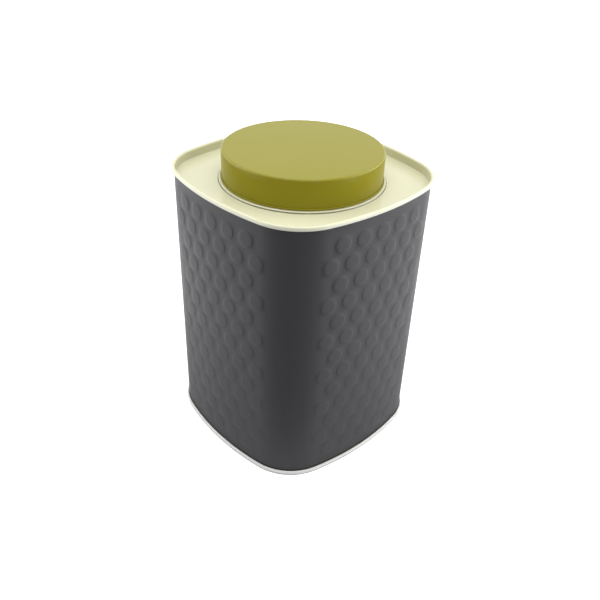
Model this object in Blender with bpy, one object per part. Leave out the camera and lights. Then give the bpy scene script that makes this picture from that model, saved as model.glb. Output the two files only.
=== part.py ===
"""Square tea canister in tinplate, with a round slip lid.

A body wall with four gently bulged sides is joined to its two ends by double seams: the wall's
edge and the end's edge are folded into each other and rolled flat. The top end carries a round
neck, clinched into a hole, and the lid slips over the neck and lifts straight off. A moulded
liner in the lid holds the ring that seals against the neck's rolled mouth.

Metres, +Z up. The origin is the centre of the foot. The lid's empty stands on its sliding axis.
"""

import math

import bmesh
import bpy

# Body: a square outline of eight arcs
ACROSS_FLATS = 0.1140         # outside width between the middles of opposite sides
SIDE_RADIUS = 0.1500          # bulge of the four sides
CORNER_RADIUS = 0.0280
BODY_HEIGHT = 0.1510          # foot to the crest of the top seam

# Tinplate and the seams rolled from it
SHEET = 0.0003
SEAM_GAP = 0.0001             # left between two folded layers
TOP_SEAM_HEIGHT = 0.0022
BOTTOM_SEAM_HEIGHT = 0.0026
FOOT_LAND = 0.0008            # flat under the bottom seam, on which the tin stands
LOCK_SEAM_WIDTH = 0.0050      # the wall's own joint, pressed flat on its inner side
LOCK_SEAM_THICKNESS = 0.0009
LOCK_SEAM_END_GAP = 0.0020    # from the lock seam's ends to the end panels

# End panels
TOP_PANEL_DEPTH = 0.0052      # crest of the top seam down to the panel's upper face
BOTTOM_PANEL_DEPTH = 0.0042   # foot up to the bottom panel's lower face
PANEL_BEND = 0.0010           # inside radius where a panel turns up to its seam
BOTTOM_STEP_INSET = 0.0140    # from the wall to the raised middle of the bottom panel
BOTTOM_STEP_RISE = 0.0008
BOTTOM_STEP_SLOPE = 40.0      # degrees

# Lid
LID_RADIUS = 0.04085          # outside of its wall
LID_HEIGHT = 0.01505
LID_EDGE_RADIUS = 0.0012      # outside radius between the top and the wall
LID_CURL_RADIUS = 0.00045     # outside radius of the rolled lower edge
LID_CURL_TURN = 280.0         # degrees that the lower edge is rolled through
LID_SEAT_GAP = 0.00015        # rolled edge to the bead it comes down on

# Neck
SLIP_GAP = 0.0003             # neck to the inside of the lid's wall
NECK_BEAD_REACH = 0.00155     # the bead's outer edge beyond the lid's wall
NECK_BEND = 0.00015           # inside radius of the bends at the neck's foot
NECK_CURL_RADIUS = 0.0009     # outside radius of the mouth's inward roll
NECK_CURL_TURN = 270.0
CLINCH_REACH = 0.0020         # lip under the panel beyond the neck
HOLE_GAP = 0.0003             # neck to the edge of the panel's hole
CLINCH_GAP = 0.0001           # panel to the bead above it and the lip below it

# Liner and seal ring in the lid
LINER_GAP = 0.0002            # liner to the lid, above and around
LINER_SHEET = 0.0012
LINER_SKIRT_DEPTH = 0.0065
LINER_SKIRT_GAP = 0.0004      # skirt to the mouth's roll
LINER_LEAD = 0.0004           # chamfer that leads the skirt into the mouth
SEAL_HEIGHT = 0.0012
SEAL_GAP = 0.0001             # seal to the liner and to the mouth
SEAL_BEVEL = 0.0003

# Facets
SIDE_FACETS = 4
CORNER_FACETS = 6
ROUND_FACETS = 48
SHARP_ANGLE = 40.0            # degrees between faces, above which an edge is shaded sharp

# Finish: sRGB colour, roughness, metallic
FINISHES = {
    "slate_enamel": ("#4B4A4E", 0.42, 0.0),
    "cream_enamel": ("#F2F1D6", 0.30, 0.0),
    "olive_enamel": ("#A9A447", 0.28, 0.0),
    "white_moulding": ("#EDEDE6", 0.45, 0.0),
    "clear_silicone": ("#DADAD2", 0.55, 0.0),
}

# Worked out from the sizes above
PITCH = SHEET + SEAM_GAP      # one layer of a seam to the next
SEAM_MIDDLE = SEAM_GAP + SHEET / 2
CHUCK_WALL = -SHEET / 2 - PITCH
PANEL_TOP = BODY_HEIGHT - TOP_PANEL_DEPTH
NECK_RADIUS = LID_RADIUS - SHEET - SLIP_GAP
BEAD_LAYER = PANEL_TOP + CLINCH_GAP + SHEET / 2
BEAD_TOP = BEAD_LAYER + PITCH + SHEET / 2
LID_FOOT = BEAD_TOP + LID_SEAT_GAP
LID_TOP = LID_FOOT + LID_HEIGHT
LINER_TOP = LID_TOP - SHEET - LINER_GAP
SEAL_TOP = LINER_TOP - LINER_SHEET - SEAL_GAP
NECK_TOP = SEAL_TOP - SEAL_HEIGHT - SEAL_GAP
MOUTH_RADIUS = NECK_RADIUS - 2 * NECK_CURL_RADIUS
SKIRT_RADIUS = MOUTH_RADIUS - LINER_SKIRT_GAP


def clear_scene():
    for thing in list(bpy.data.objects):
        bpy.data.objects.remove(thing, do_unlink=True)


def linear(hex_colour):
    """sRGB hex to the linear colour that a shader takes."""
    channels = [int(hex_colour[i:i + 2], 16) / 255 for i in (1, 3, 5)]
    return [c / 12.92 if c <= 0.04045 else ((c + 0.055) / 1.055) ** 2.4 for c in channels]


def finish(name):
    colour, roughness, metallic = FINISHES[name]
    material = bpy.data.materials.get(name) or bpy.data.materials.new(name)
    material.use_nodes = True
    shader = material.node_tree.nodes["Principled BSDF"]
    shader.inputs["Base Color"].default_value = (*linear(colour), 1.0)
    shader.inputs["Roughness"].default_value = roughness
    shader.inputs["Metallic"].default_value = metallic
    return material


def run(length):
    return ("run", length, 0.0, 1)


def bend(radius, degrees, facets=1):
    """A bend about a radius to the sheet's middle; positive degrees turn left."""
    return ("bend", radius, math.radians(degrees), facets)


def sheet_section(start, heading, steps, thickness):
    """Closed section of a sheet that follows runs and bends, as a list of (out, up) points.

    The middle of the sheet is walked from start along heading degrees (0 is outward, 90 is up),
    with half the thickness laid off on either side.
    """
    out, up = start
    angle = math.radians(heading)
    half = thickness / 2
    left = []
    right = []

    def lay():
        side = (-math.sin(angle) * half, math.cos(angle) * half)
        left.append((out + side[0], up + side[1]))
        right.append((out - side[0], up - side[1]))

    lay()
    for kind, size, turn, facets in steps:
        if kind == "run":
            out += size * math.cos(angle)
            up += size * math.sin(angle)
            lay()
            continue
        hand = math.copysign(1.0, turn)
        centre = (out - hand * math.sin(angle) * size, up + hand * math.cos(angle) * size)
        for _ in range(facets):
            angle += turn / facets
            out = centre[0] + hand * math.sin(angle) * size
            up = centre[1] - hand * math.cos(angle) * size
            lay()
    return left + right[::-1]


def outline_stations():
    """Points and outward directions round the square outline, from the middle of the +X side.

    A side's arc is centred on its own axis, SIDE_RADIUS from the outline, and a corner's arc
    meets it where both have the same direction. An offset outline keeps the same centres, so
    every layer of a seam is parallel to the next. The last value marks the lock seam, whose
    edges get stations of their own on the +Y side.
    """
    back = SIDE_RADIUS - ACROSS_FLATS / 2
    span = SIDE_RADIUS - CORNER_RADIUS
    middle = (math.sqrt(2 * span ** 2 - back ** 2) - back) / 2
    meet = math.atan2(middle, middle + back)
    side_angles = [meet * i / (SIDE_FACETS / 2) for i in range(-SIDE_FACETS // 2, SIDE_FACETS // 2)]
    corner_turn = math.pi / 2 - 2 * meet
    corner_angles = [meet + corner_turn * i / CORNER_FACETS for i in range(CORNER_FACETS)]
    lock_edge = LOCK_SEAM_WIDTH / 2 / SIDE_RADIUS
    step = SHEET / SIDE_RADIUS
    stations = []
    for quarter in range(4):
        face = quarter * math.pi / 2
        side = [(angle, False) for angle in side_angles]
        if quarter == 1:
            lock = [(-lock_edge - step, False), (-lock_edge, True), (0.0, True),
                    (lock_edge, True), (lock_edge + step, False)]
            side = [item for item in side if abs(item[0]) > lock_edge + step] + lock
            side.sort()
        for angle, locked in side:
            centre = (-back * math.cos(face), -back * math.sin(face))
            stations.append((centre, SIDE_RADIUS, angle + face, locked))
        for angle in corner_angles:
            centre = (middle * (math.cos(face) - math.sin(face)),
                      middle * (math.sin(face) + math.cos(face)))
            stations.append((centre, CORNER_RADIUS, angle + face, False))
    return stations


STATIONS = outline_stations()


def square_loop(offset, up, lock_depth=0.0):
    """One loop of the outline, pushed out by offset, at height up."""
    loop = []
    for centre, radius, angle, locked in STATIONS:
        reach = radius + offset - (lock_depth if locked else 0.0)
        loop.append((centre[0] + reach * math.cos(angle), centre[1] + reach * math.sin(angle), up))
    return loop


def round_loop(radius, up, angles):
    return [(radius * math.cos(angle), radius * math.sin(angle), up) for angle in angles]


def even_bearings(count, first=0.0):
    return [first + 2 * math.pi * i / count for i in range(count)]


def loft(name, loops, finish_name, closed):
    """A solid skinned over loops of equally many points.

    A closed loft joins its last loop to its first, as a ring's section does. An open one is
    capped at its first and last loop.
    """
    shape = bmesh.new()
    rings = [[shape.verts.new(point) for point in loop] for loop in loops]
    pairs = list(zip(rings, rings[1:]))
    if closed:
        pairs.append((rings[-1], rings[0]))
    else:
        shape.faces.new(rings[0])
        shape.faces.new(rings[-1])
    count = len(loops[0])
    for lower, upper in pairs:
        for i in range(count):
            j = (i + 1) % count
            shape.faces.new((lower[i], lower[j], upper[j], upper[i]))
    bmesh.ops.recalc_face_normals(shape, faces=shape.faces)
    mesh = bpy.data.meshes.new(name)
    shape.to_mesh(mesh)
    shape.free()
    mesh.shade_smooth()
    mesh.set_sharp_from_angle(angle=math.radians(SHARP_ANGLE))
    mesh.materials.append(finish(finish_name))
    thing = bpy.data.objects.new(name, mesh)
    bpy.context.collection.objects.link(thing)
    return thing


def turned(name, section, finish_name, closed=True):
    """A solid of revolution about +Z from a section of (radius, up) points."""
    bearings = even_bearings(ROUND_FACETS)
    return loft(name, [round_loop(r, up, bearings) for r, up in section], finish_name, closed)


def body_wall():
    """The wall: one sheet whose two edges are hooked outward into the seams.

    The lock seam that closes the sheet into a tube stands on its inner side, from low to high,
    with a slope as long as the sheet is thick at either end.
    """
    top_fold = BODY_HEIGHT - SHEET / 2 - 2 * PITCH
    top_tip = BODY_HEIGHT - TOP_SEAM_HEIGHT + SHEET / 2 + PITCH
    bottom_fold = SHEET / 2 + 2 * PITCH
    bottom_tip = BOTTOM_SEAM_HEIGHT - SHEET / 2 - PITCH
    hook = SEAM_MIDDLE + PITCH
    low = BOTTOM_PANEL_DEPTH + SHEET + BOTTOM_STEP_RISE + LOCK_SEAM_END_GAP
    high = PANEL_TOP - SHEET - LOCK_SEAM_END_GAP
    steps = [run(top_fold - top_tip), bend(PITCH, 180, 3),
             run(top_fold - high), run(SHEET), run(high - low - 2 * SHEET), run(SHEET),
             run(low - bottom_fold), bend(PITCH, 180, 3), run(bottom_tip - bottom_fold)]
    loops = []
    for out, up in sheet_section((hook, top_tip), 90, steps, SHEET):
        in_lock = out < -SHEET / 2 and low + SHEET / 2 < up < high - SHEET / 2
        loops.append(square_loop(out, up, LOCK_SEAM_THICKNESS if in_lock else 0.0))
    return loft("body_wall", loops, "slate_enamel", closed=True)


def top_plate():
    """The top end: a sunk panel with a round hole, turned up to the top seam and over it.

    The hole has one evenly spaced point for each station of the outline, so the flat panel is
    skinned straight from one to the other.
    """
    fold = BODY_HEIGHT - SHEET / 2 - 2 * PITCH
    low_fold = BODY_HEIGHT - TOP_SEAM_HEIGHT + SHEET / 2 + PITCH
    panel = PANEL_TOP - SHEET / 2
    corner = PANEL_BEND + SHEET / 2
    steps = [bend(corner, 90, 3), run(fold - panel - corner), bend(2 * PITCH, -180, 6),
             run(fold - low_fold), bend(PITCH, -180, 3), run(fold - low_fold)]
    section = sheet_section((CHUCK_WALL - corner, panel), 0, steps, SHEET)
    hole = NECK_RADIUS + HOLE_GAP
    x, y, _ = square_loop(0.0, 0.0)[0]
    bearings = even_bearings(len(STATIONS), math.atan2(y, x))
    loops = [round_loop(hole, PANEL_TOP - SHEET, bearings), round_loop(hole, PANEL_TOP, bearings)]
    loops += [square_loop(*point) for point in section]
    return loft("top_plate", loops, "cream_enamel", closed=True)


def bottom_plate():
    """The bottom end: a sunk panel with a raised middle, turned down to the foot and up."""
    fold = SHEET / 2 + 2 * PITCH
    high_fold = BOTTOM_SEAM_HEIGHT - SHEET / 2 - PITCH
    panel = BOTTOM_PANEL_DEPTH + SHEET / 2
    corner = PANEL_BEND + SHEET / 2
    foot_bend = 2 * PITCH - FOOT_LAND / 2
    slope = math.radians(BOTTOM_STEP_SLOPE)
    slant = (BOTTOM_STEP_RISE - 2 * SHEET * (1 - math.cos(slope))) / math.sin(slope)
    step_run = 2 * SHEET * math.sin(slope) + slant * math.cos(slope)
    flat = BOTTOM_STEP_INSET - step_run + CHUCK_WALL - corner
    steps = [bend(SHEET, -BOTTOM_STEP_SLOPE), run(slant), bend(SHEET, BOTTOM_STEP_SLOPE),
             run(flat), bend(corner, -90, 2),
             run(panel - corner - fold + 2 * PITCH - foot_bend), bend(foot_bend, 90, 2),
             run(FOOT_LAND), bend(foot_bend, 90, 2),
             run(high_fold - fold + 2 * PITCH - foot_bend), bend(PITCH, 180, 4),
             run(high_fold - fold)]
    section = sheet_section((-BOTTOM_STEP_INSET, panel + BOTTOM_STEP_RISE), 0, steps, SHEET)
    return loft("bottom_plate", [square_loop(*point) for point in section], "cream_enamel",
                closed=False)


def neck_ring():
    """The neck: a lip under the panel, a folded bead on it, the wall, and a mouth rolled in."""
    wall = NECK_RADIUS - SHEET / 2
    turn = NECK_BEND + SHEET / 2
    lip = PANEL_TOP - SHEET - CLINCH_GAP - SHEET / 2
    bead_edge = LID_RADIUS + NECK_BEAD_REACH - SHEET / 2 - PITCH / 2
    curl = NECK_CURL_RADIUS - SHEET / 2
    steps = [run(CLINCH_REACH - turn), bend(turn, -90), run(BEAD_LAYER - lip - 2 * turn),
             bend(turn, -90), run(bead_edge - wall - turn), bend(PITCH / 2, 180, 3),
             run(bead_edge - wall - turn), bend(turn, -90),
             run(NECK_TOP - NECK_CURL_RADIUS - BEAD_LAYER - PITCH - turn),
             bend(curl, NECK_CURL_TURN, 6)]
    section = sheet_section((wall + CLINCH_REACH, lip), 180, steps, SHEET)
    return turned("neck_ring", section, "cream_enamel")


def lid_cap():
    """The drawn cap: a flat top, a rounded edge, a straight wall and a rolled lower edge."""
    edge = LID_EDGE_RADIUS - SHEET / 2
    wall = LID_RADIUS - SHEET / 2
    curl = LID_CURL_RADIUS - SHEET / 2
    top = LID_TOP - SHEET / 2
    steps = [bend(edge, -90, 3), run(top - edge - LID_FOOT - LID_CURL_RADIUS),
             bend(curl, LID_CURL_TURN, 5)]
    section = sheet_section((wall - edge, top), 0, steps, SHEET)
    return turned("lid_cap", section, "olive_enamel", closed=False)


def lid_liner():
    """The moulded liner: a disc under the lid's top, with a skirt that drops into the mouth.

    Its upper corner is cut to clear the inside of the lid's rounded edge.
    """
    rim = LID_RADIUS - SHEET - LINER_GAP
    cut = min(LID_EDGE_RADIUS - SHEET, LINER_SHEET / 2)
    under = LINER_TOP - LINER_SHEET
    foot = under - LINER_SKIRT_DEPTH
    inside = SKIRT_RADIUS - LINER_SHEET
    section = [(rim - cut, LINER_TOP), (rim, LINER_TOP - cut), (rim, under),
               (SKIRT_RADIUS, under), (SKIRT_RADIUS, foot + LINER_LEAD),
               (SKIRT_RADIUS - LINER_LEAD, foot), (inside, foot), (inside, under)]
    return turned("lid_liner", section, "white_moulding", closed=False)


def lid_seal():
    """The seal: a soft ring round the skirt, between the liner's disc and the rolled mouth."""
    inner = SKIRT_RADIUS + SEAL_GAP
    outer = NECK_RADIUS
    low = SEAL_TOP - SEAL_HEIGHT
    section = [(inner, SEAL_TOP), (outer - SEAL_BEVEL, SEAL_TOP), (outer, SEAL_TOP - SEAL_BEVEL),
               (outer, low + SEAL_BEVEL), (outer - SEAL_BEVEL, low), (inner, low)]
    return turned("lid_seal", section, "clear_silicone")


def main():
    clear_scene()
    body_wall()
    top_plate()
    bottom_plate()
    neck_ring()
    lid_axis = bpy.data.objects.new("lid_axis", None)
    bpy.context.collection.objects.link(lid_axis)
    for piece in (lid_cap(), lid_liner(), lid_seal()):
        piece.parent = lid_axis


main()
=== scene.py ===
"""Square tinplate tea canister with a round slip lid, finished in enamel.

Every piece is a sheet or a moulding whose section is carried round an outline. The outline of the
body is a square of eight arcs, and that of the neck and lid is a circle. The sections follow the
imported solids, with finer bends, and the wall carries its pressed relief.

Metres, +Z up, the origin at the centre of the foot.
"""

import math
from collections import namedtuple

import bpy
import numpy as np
from bpy.props import FloatProperty, FloatVectorProperty, IntProperty, PointerProperty
from mathutils import Matrix, Vector


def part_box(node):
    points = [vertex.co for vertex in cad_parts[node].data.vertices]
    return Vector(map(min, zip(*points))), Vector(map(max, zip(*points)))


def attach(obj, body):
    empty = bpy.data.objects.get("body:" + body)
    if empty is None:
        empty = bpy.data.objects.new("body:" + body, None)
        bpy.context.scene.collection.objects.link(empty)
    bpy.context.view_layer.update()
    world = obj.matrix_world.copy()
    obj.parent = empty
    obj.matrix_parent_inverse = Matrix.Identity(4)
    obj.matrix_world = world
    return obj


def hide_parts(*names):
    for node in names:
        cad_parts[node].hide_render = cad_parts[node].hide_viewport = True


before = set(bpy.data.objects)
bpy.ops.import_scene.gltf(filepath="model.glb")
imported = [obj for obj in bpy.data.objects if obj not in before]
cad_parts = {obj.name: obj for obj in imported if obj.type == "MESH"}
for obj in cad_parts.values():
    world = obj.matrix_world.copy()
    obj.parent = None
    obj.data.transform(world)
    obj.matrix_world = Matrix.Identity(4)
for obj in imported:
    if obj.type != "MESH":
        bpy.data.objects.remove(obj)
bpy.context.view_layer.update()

bl_info = {
    "name": "Tea canister",
    "version": (1, 0, 0),
    "blender": (4, 5, 0),
    "location": "View3D > Sidebar > Canister",
    "description": "Builds a square tinplate tea canister with a round slip lid, piece by piece",
    "category": "Add Mesh",
}

# Sheet and seams, as the solids have them
SHEET = 0.0003
SEAM_GAP = 0.0001                        # between two folded layers
PITCH = SHEET + SEAM_GAP                 # one layer to the next
SEAM_MIDDLE = SEAM_GAP + SHEET / 2       # centre of a seam's folds, beyond the wall's face
SEAM_REACH = SEAM_MIDDLE + 2 * PITCH + SHEET / 2
CHUCK_WALL = -SHEET / 2 - PITCH          # middle of the end's upright, inside the wall
TOP_SEAM_HEIGHT = 0.0022
BOTTOM_SEAM_HEIGHT = 0.0026
FOOT_LAND = 0.0008
LOCK_SEAM_WIDTH = 0.0050
LOCK_SEAM_THICKNESS = 0.0009
LOCK_SEAM_SHOULDER = 0.0003
LOCK_SEAM_ROOT = 0.00005                 # how deep it is let into the wall
LOCK_SEAM_NOTCH_PLACE = -0.00155         # along the wall, where its folded edge ends
LOCK_SEAM_NOTCH = 0.00015                # half the notch's width, and its depth
LOCK_SEAM_END_GAP = 0.0020

# The body's outline and its ends
HALF_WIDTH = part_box("top_plate")[1].x - SEAM_REACH
BODY_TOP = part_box("top_plate")[1].z
SIDE_RADIUS = 0.150
CORNER_RADIUS = 0.028
TOP_PANEL_DEPTH = 0.0052
BOTTOM_PANEL_DEPTH = 0.0042
PANEL_TOP = BODY_TOP - TOP_PANEL_DEPTH
PANEL_BEND = 0.0010
BOTTOM_STEP_INSET = 0.0140
BOTTOM_STEP_RISE = 0.0008
BOTTOM_STEP_SLOPE = 40.0                 # degrees
WALL_MIDDLE = (BOTTOM_SEAM_HEIGHT + BODY_TOP - TOP_SEAM_HEIGHT) / 2

# Neck and lid
LID_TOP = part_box("lid_cap")[1].z
LID_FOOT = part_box("lid_cap")[0].z
LID_RADIUS = 0.04085
LID_EDGE_RADIUS = 0.0012
LID_CURL_RADIUS = 0.00045
LID_CURL_TURN = 280.0                    # degrees
NECK_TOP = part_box("neck_ring")[1].z
NECK_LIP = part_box("neck_ring")[0].z
NECK_BEAD_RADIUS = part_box("neck_ring")[1].x
SLIP_GAP = 0.0003                        # neck to the inside of the lid's wall
NECK_RADIUS = LID_RADIUS - SHEET - SLIP_GAP
NECK_BEND = 0.00015
NECK_CURL_RADIUS = 0.0009
NECK_CURL_TURN = 270.0                   # degrees
CLINCH_REACH = 0.0020
CLINCH_GAP = 0.0001
HOLE_GAP = 0.0003
HOLE_RADIUS = NECK_RADIUS + HOLE_GAP
CREVICE_WIDTH = 0.0004                   # of the groove that the clinch presses outside the bead
CREVICE_DEPTH = 0.0003
LINER_LOW, LINER_HIGH = (corner.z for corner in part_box("lid_liner"))
LINER_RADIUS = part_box("lid_liner")[1].x
LINER_SHEET = 0.0012
LINER_CHAMFER = 0.0006                   # round its top, clear of the bend in the lid
LINER_LEAD = 0.0004                      # round the skirt's foot
LINER_SKIRT_GAP = 0.0004
SKIRT_RADIUS = NECK_RADIUS - 2 * NECK_CURL_RADIUS - LINER_SKIRT_GAP
SEAL_LOW, SEAL_HIGH = (corner.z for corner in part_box("lid_seal"))
SEAL_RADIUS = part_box("lid_seal")[1].x
SEAL_GAP = 0.0001
SEAL_INSIDE = SKIRT_RADIUS + SEAL_GAP
SEAL_BEVEL = 0.0003

# Mesh density
CELL_STEPS = 10                          # along the level edge of a boss's cell, an even number
CELL_RISES = 8                           # along its upright edge
END_STATIONS = 252
ROUND_STATIONS = 256
WALL_HOOK_FACETS = 4
END_HOOK_FACETS = 6
CREST_FACETS = 14
PANEL_BEND_FACETS = 8
STEP_FACETS = 3
FOOT_FACETS = 5
NECK_BEND_FACETS = 4
BEAD_FACETS = 8
MOUTH_FACETS = 18
LID_EDGE_FACETS = 12
LID_CURL_FACETS = 16
UPRIGHT_ROWS = 6                         # up the wall's inner face
LEAD_IN = 0.002                          # flat modelled before the first bend of a capped piece
MARGIN = 0.00008                         # flat kept beside each bend, so that flats shade flat
MARGIN_LIMIT = 0.3                       # of a stretch, where it is too short for its margins
SHARP_ANGLE = math.radians(38)

# Shapes given as shares of a size
CREVICE_PROFILE = np.array([             # outward from the bead's edge, and down
    (-0.5, 0.0), (-0.2, 0.7), (0.0, 1.0), (0.3, 1.0), (0.6, 0.75), (0.8, 0.2), (1.0, 0.0)])
PANEL_RINGS = np.array([0.02, 0.25, 0.5, 0.75, 0.99])        # from the crevice to the bend
BOSS_CROWN = 0.1                         # of a boss's height, the rest of it in the shoulder
SPREAD_SLACK = 0.01                      # of a place, so that a boss right at the spread is kept

# Finishes: a patch is a width in metres, and a drift is how far a property moves over it
PIGMENT_PATCHES = (0.022, 0.0007)
PIGMENT_DRIFT = 0.05
SATIN_PATCH = 0.018
SATIN_DRIFT = 0.04
PEEL_PATCH = 0.0012
PEEL_DEPTH = 0.000003
WEAR_PATCH = 0.004
WEAR_START = 0.45                        # on the noise, where a worn patch begins
WEAR_FULL = 0.75
WEAR_SHARE = 0.14
WEAR_ROUGHNESS = 0.4
WORN_COLOUR = "#A8A698"
# Dark colour painted as shade in crevices and under the foot
PAINTED_SHADE_COLOUR = "#2A1E10"
SIDE_SHADE_FADE_LOW = 0.0004                  # over which the painted side shading fades in, at the wall's foot
SIDE_SHADE_FADE_HIGH = 0.0010                 # and ends, at its top
SPANGLE_PATCHES = (0.006, 0.0007)
SPANGLE_DRIFT = 0.08
ROLLING_LINE = 0.0004
ROLLING_STRETCH = 0.04                   # scale of the lines along X
TOOL_PATCH = 0.0003
TOOL_DEPTH = 0.00001
RESIN_PATCH = 0.012
RESIN_DRIFT = 0.015

# Camera, solved from the outlines in the photograph
CAMERA_AZIMUTH = math.radians(-42.58)
CAMERA_ELEVATION = math.radians(33.65)
CAMERA_RIGHT = (math.cos(CAMERA_AZIMUTH), math.sin(CAMERA_AZIMUTH), 0.0)
CAMERA_SIDE = (math.sin(CAMERA_AZIMUTH), -math.cos(CAMERA_AZIMUTH), 0.0)    # level, towards it
CAMERA_ROLL = math.radians(2.20)
CAMERA_YAW = -0.0035                     # radians
CAMERA_PITCH = 0.0053                    # radians
CAMERA_DISTANCE = 0.3917
CAMERA_AIM_HEIGHT = 0.0684
CAMERA_LENS = 41.24                      # mm
CAMERA_SENSOR = 36.0                     # mm

# Floor: a card whose front edge, towards the camera, ends close before the canister
CARD_SIDE = 0.8
CARD_BACK = 1.0
CARD_FRONT = 0.09
PAINTED_SHADOW_FADE_START = 0.065                       # from the canister's axis, where the painted shadow round it begins to fade
PAINTED_SHADOW_FADE_END = 0.21

# Light tent: cosines to a light's own direction, from where it fades in to where it is full
MOUTH_START = -0.5
MOUTH_FULL = 0.8
BOX_START = 0.63
BOX_FULL = 0.97
CROWN_START = 0.51
CROWN_FULL = 0.95
BACKDROP_LEVEL = 1.03                    # a little over white, so that no sampling noise shows
WHITE = (1.0, 1.0, 1.0, 1.0)


def linear(hex_colour):
    """sRGB hex to the linear colour that a shader takes."""
    channels = [int(hex_colour[i:i + 2], 16) / 255 for i in (1, 3, 5)]
    return [c / 12.92 if c <= 0.04045 else ((c + 0.055) / 1.055) ** 2.4 for c in channels]


# Shapes


def unit(bearing):
    """Directions at bearings from +X."""
    return np.stack([np.cos(bearing), np.sin(bearing)], axis=-1)


def run(length):
    """A straight stretch, as shares of its length: a narrow flat at either end of a long one."""
    edge = min(MARGIN / length, MARGIN_LIMIT)
    return length, 0.0, np.array([edge, 1 - edge, 1.0])


def bend(radius, degrees, facets):
    """A bend about a radius to the sheet's middle; positive degrees turn left."""
    return radius, math.radians(degrees), np.arange(1, facets + 1) / facets


def folded(start, heading, steps):
    """Closed section of a folded sheet, as rows of (out, up).

    The middle of the sheet is walked from start. A run is p + length * share * (cos a, sin a). A
    bend turns about the centre c = p + radius * (-sin a, cos a) on its own side, and is
    c + radius * (sin a, -cos a) as the heading a grows. Half the thickness is laid off to the left
    on the way out, and to the right on the way back.
    """
    point = np.array(start, float)
    angle = math.radians(heading)
    points = [point[None]]
    angles = [np.array([angle])]
    for size, turn, shares in steps:
        if turn:
            arm = math.copysign(size, turn)
            centre = point + arm * np.array([-math.sin(angle), math.cos(angle)])
            headings = angle + turn * shares
            walked = centre + arm * np.stack([np.sin(headings), -np.cos(headings)], axis=1)
        else:
            headings = np.full(len(shares), angle)
            walked = point + size * shares[:, None] * [math.cos(angle), math.sin(angle)]
        point = walked[-1]
        angle = headings[-1]
        points.append(walked)
        angles.append(headings)
    middle = np.concatenate(points)
    heading = np.concatenate(angles)
    side = SHEET / 2 * np.stack([-np.sin(heading), np.cos(heading)], axis=1)
    return np.concatenate([middle + side, (middle - side)[::-1]])


def square_arcs():
    """The body's outline as eight arcs, the first one cut in two by the middle of the +X side.

    A side's centre lies back from the axis by the side radius less the half width. A corner's
    centre lies on the diagonal, where its arc and the side's share a tangent.
    Returns lengths and bearings at the ends of the nine arcs (10,), their centres and radii.
    """
    back = SIDE_RADIUS - HALF_WIDTH
    span = SIDE_RADIUS - CORNER_RADIUS
    middle = (math.sqrt(2 * span ** 2 - back ** 2) - back) / 2
    meet = math.atan2(middle, middle + back)
    corner_turn = math.pi / 2 - 2 * meet
    turns = np.array([meet] + [corner_turn, 2 * meet] * 3 + [corner_turn, meet])
    radii = np.array([SIDE_RADIUS] + [CORNER_RADIUS, SIDE_RADIUS] * 4)
    ends = np.concatenate([[0.0], np.cumsum(turns * radii)])
    bearings = np.concatenate([[0.0], np.cumsum(turns)])
    arcs = np.arange(len(radii))
    quarter = arcs // 2 * math.pi / 2
    side = -back * unit(quarter)
    corner = middle * math.sqrt(2) * unit(quarter + math.pi / 4)
    centres = np.where(arcs[:, None] % 2 == 0, side, corner)
    return ends, bearings, centres, radii


def along_square(length):
    """The body's outline at lengths along it, from the middle of the +X side.

    The outline's bearing grows evenly with length along each arc, so it is read off the arcs'
    ends. Returns the arcs' centres (..., 2), directions (..., 2) and radii (...).
    """
    ends, bearings, centres, radii = square_arcs()
    around = length % ends[-1]
    arc = np.clip(np.searchsorted(ends, around, side="right") - 1, 0, len(radii) - 1)
    bearing = np.interp(around, ends, bearings)
    return centres[arc], unit(bearing), radii[arc]


def square_outline(count):
    """Stations at even steps round the body."""
    return along_square(square_arcs()[0][-1] * np.arange(count) / count)


def round_outline(count):
    """Stations at even steps round a circle about +Z, whose radius is all in the section."""
    bearing = 2 * math.pi * np.arange(count) / count
    return np.zeros((count, 2)), unit(bearing), np.zeros(count)


def carry(section, outline):
    """A section carried round an outline: centre + (radius + out) * direction, up.

    Returns a grid of points, rows of the section by stations of the outline.
    """
    centre, direction, radius = outline
    reach = radius[None, :] + section[:, :1]
    flat = centre[None] + reach[..., None] * direction[None]
    up = np.broadcast_to(section[:, 1:], reach.shape)
    return np.concatenate([flat, up[..., None]], axis=2)


def quads(rows):
    """Quads between neighbouring rows of point numbers, closed round each row."""
    ahead = np.roll(rows, -1, axis=1)
    return np.stack([rows[:-1], ahead[:-1], ahead[1:], rows[1:]], axis=-1).reshape(-1, 4)


def volume(points, faces):
    """Signed volume inside triangles: the sum of a . (b x c) / 6, positive if they face out."""
    a, b, c = (points[faces[:, i]] for i in range(3))
    return np.einsum("ij,ij->", a, np.cross(b, c)) / 6


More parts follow.
